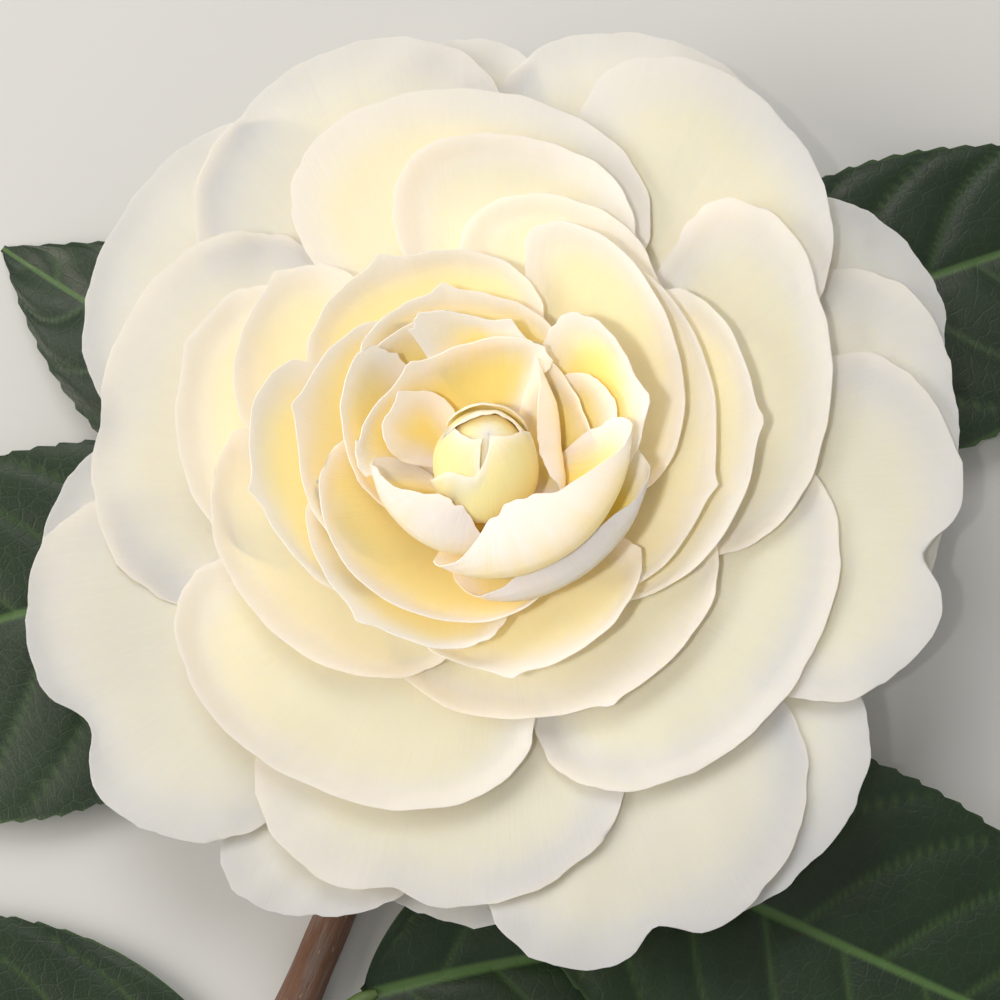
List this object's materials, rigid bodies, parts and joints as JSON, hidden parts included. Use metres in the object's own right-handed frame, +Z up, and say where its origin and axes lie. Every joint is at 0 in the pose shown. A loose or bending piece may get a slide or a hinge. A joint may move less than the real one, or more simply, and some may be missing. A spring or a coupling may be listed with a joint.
{
  "type": "cut camellia sprig in bloom",
  "caption": "Cut sprig of a garden camellia: a white formal double bloom, face up, on a short woody twig with glossy dark green leaves.",
  "frame": {"origin": "bottom centre of the sprig's box, on the surface it lies on", "axes": "+Z up along the bloom's axis, +X along the sprig's longest side, to the right of the bloom with the twig's cut end towards -Y"},
  "size_m": [0.2012, 0.1348, 0.0376],
  "materials": {
    "petal": "satin, faintly veined white petal",
    "heart_petal": "satin cream petal, golden towards its foot",
    "calyx": "downy green scales",
    "bark": "smooth reddish brown young bark",
    "leaf": "glossy, leathery dark green"
  },
  "bodies": {
    "root": {"petal_01": "petal", "petal_02": "petal", "petal_03": "petal", "petal_04": "petal", "petal_05": "petal", "petal_06": "petal", "petal_07": "petal", "petal_08": "petal", "petal_09": "petal", "petal_10": "petal", "petal_11": "petal", "petal_12": "petal", "petal_13": "petal", "petal_14": "petal", "petal_15": "petal", "petal_16": "petal", "petal_17": "petal", "petal_18": "petal", "petal_19": "petal", "petal_20": "petal", "petal_21": "petal", "petal_22": "petal", "petal_23": "petal", "petal_24": "petal", "petal_25": "petal", "petal_26": "petal", "petal_27": "petal", "petal_28": "petal", "petal_29": "petal", "petal_30": "petal", "petal_31": "heart_petal", "petal_32": "heart_petal", "petal_33": "heart_petal", "petal_34": "heart_petal", "petal_35": "heart_petal", "petal_36": "heart_petal", "petal_37": "heart_petal", "petal_38": "heart_petal", "petal_39": "heart_petal", "petal_40": "heart_petal", "petal_41": "heart_petal", "petal_42": "heart_petal", "petal_43": "heart_petal", "petal_44": "heart_petal", "petal_45": "heart_petal", "petal_46": "heart_petal", "petal_47": "heart_petal", "receptacle": "calyx", "calyx": "calyx", "bud": "heart_petal", "twig": "bark", "leaf_1": "leaf", "leaf_2": "leaf", "leaf_3": "leaf", "leaf_4": "leaf", "leaf_5": "leaf", "leaf_6": "leaf"}
  },
  "joints": []
}
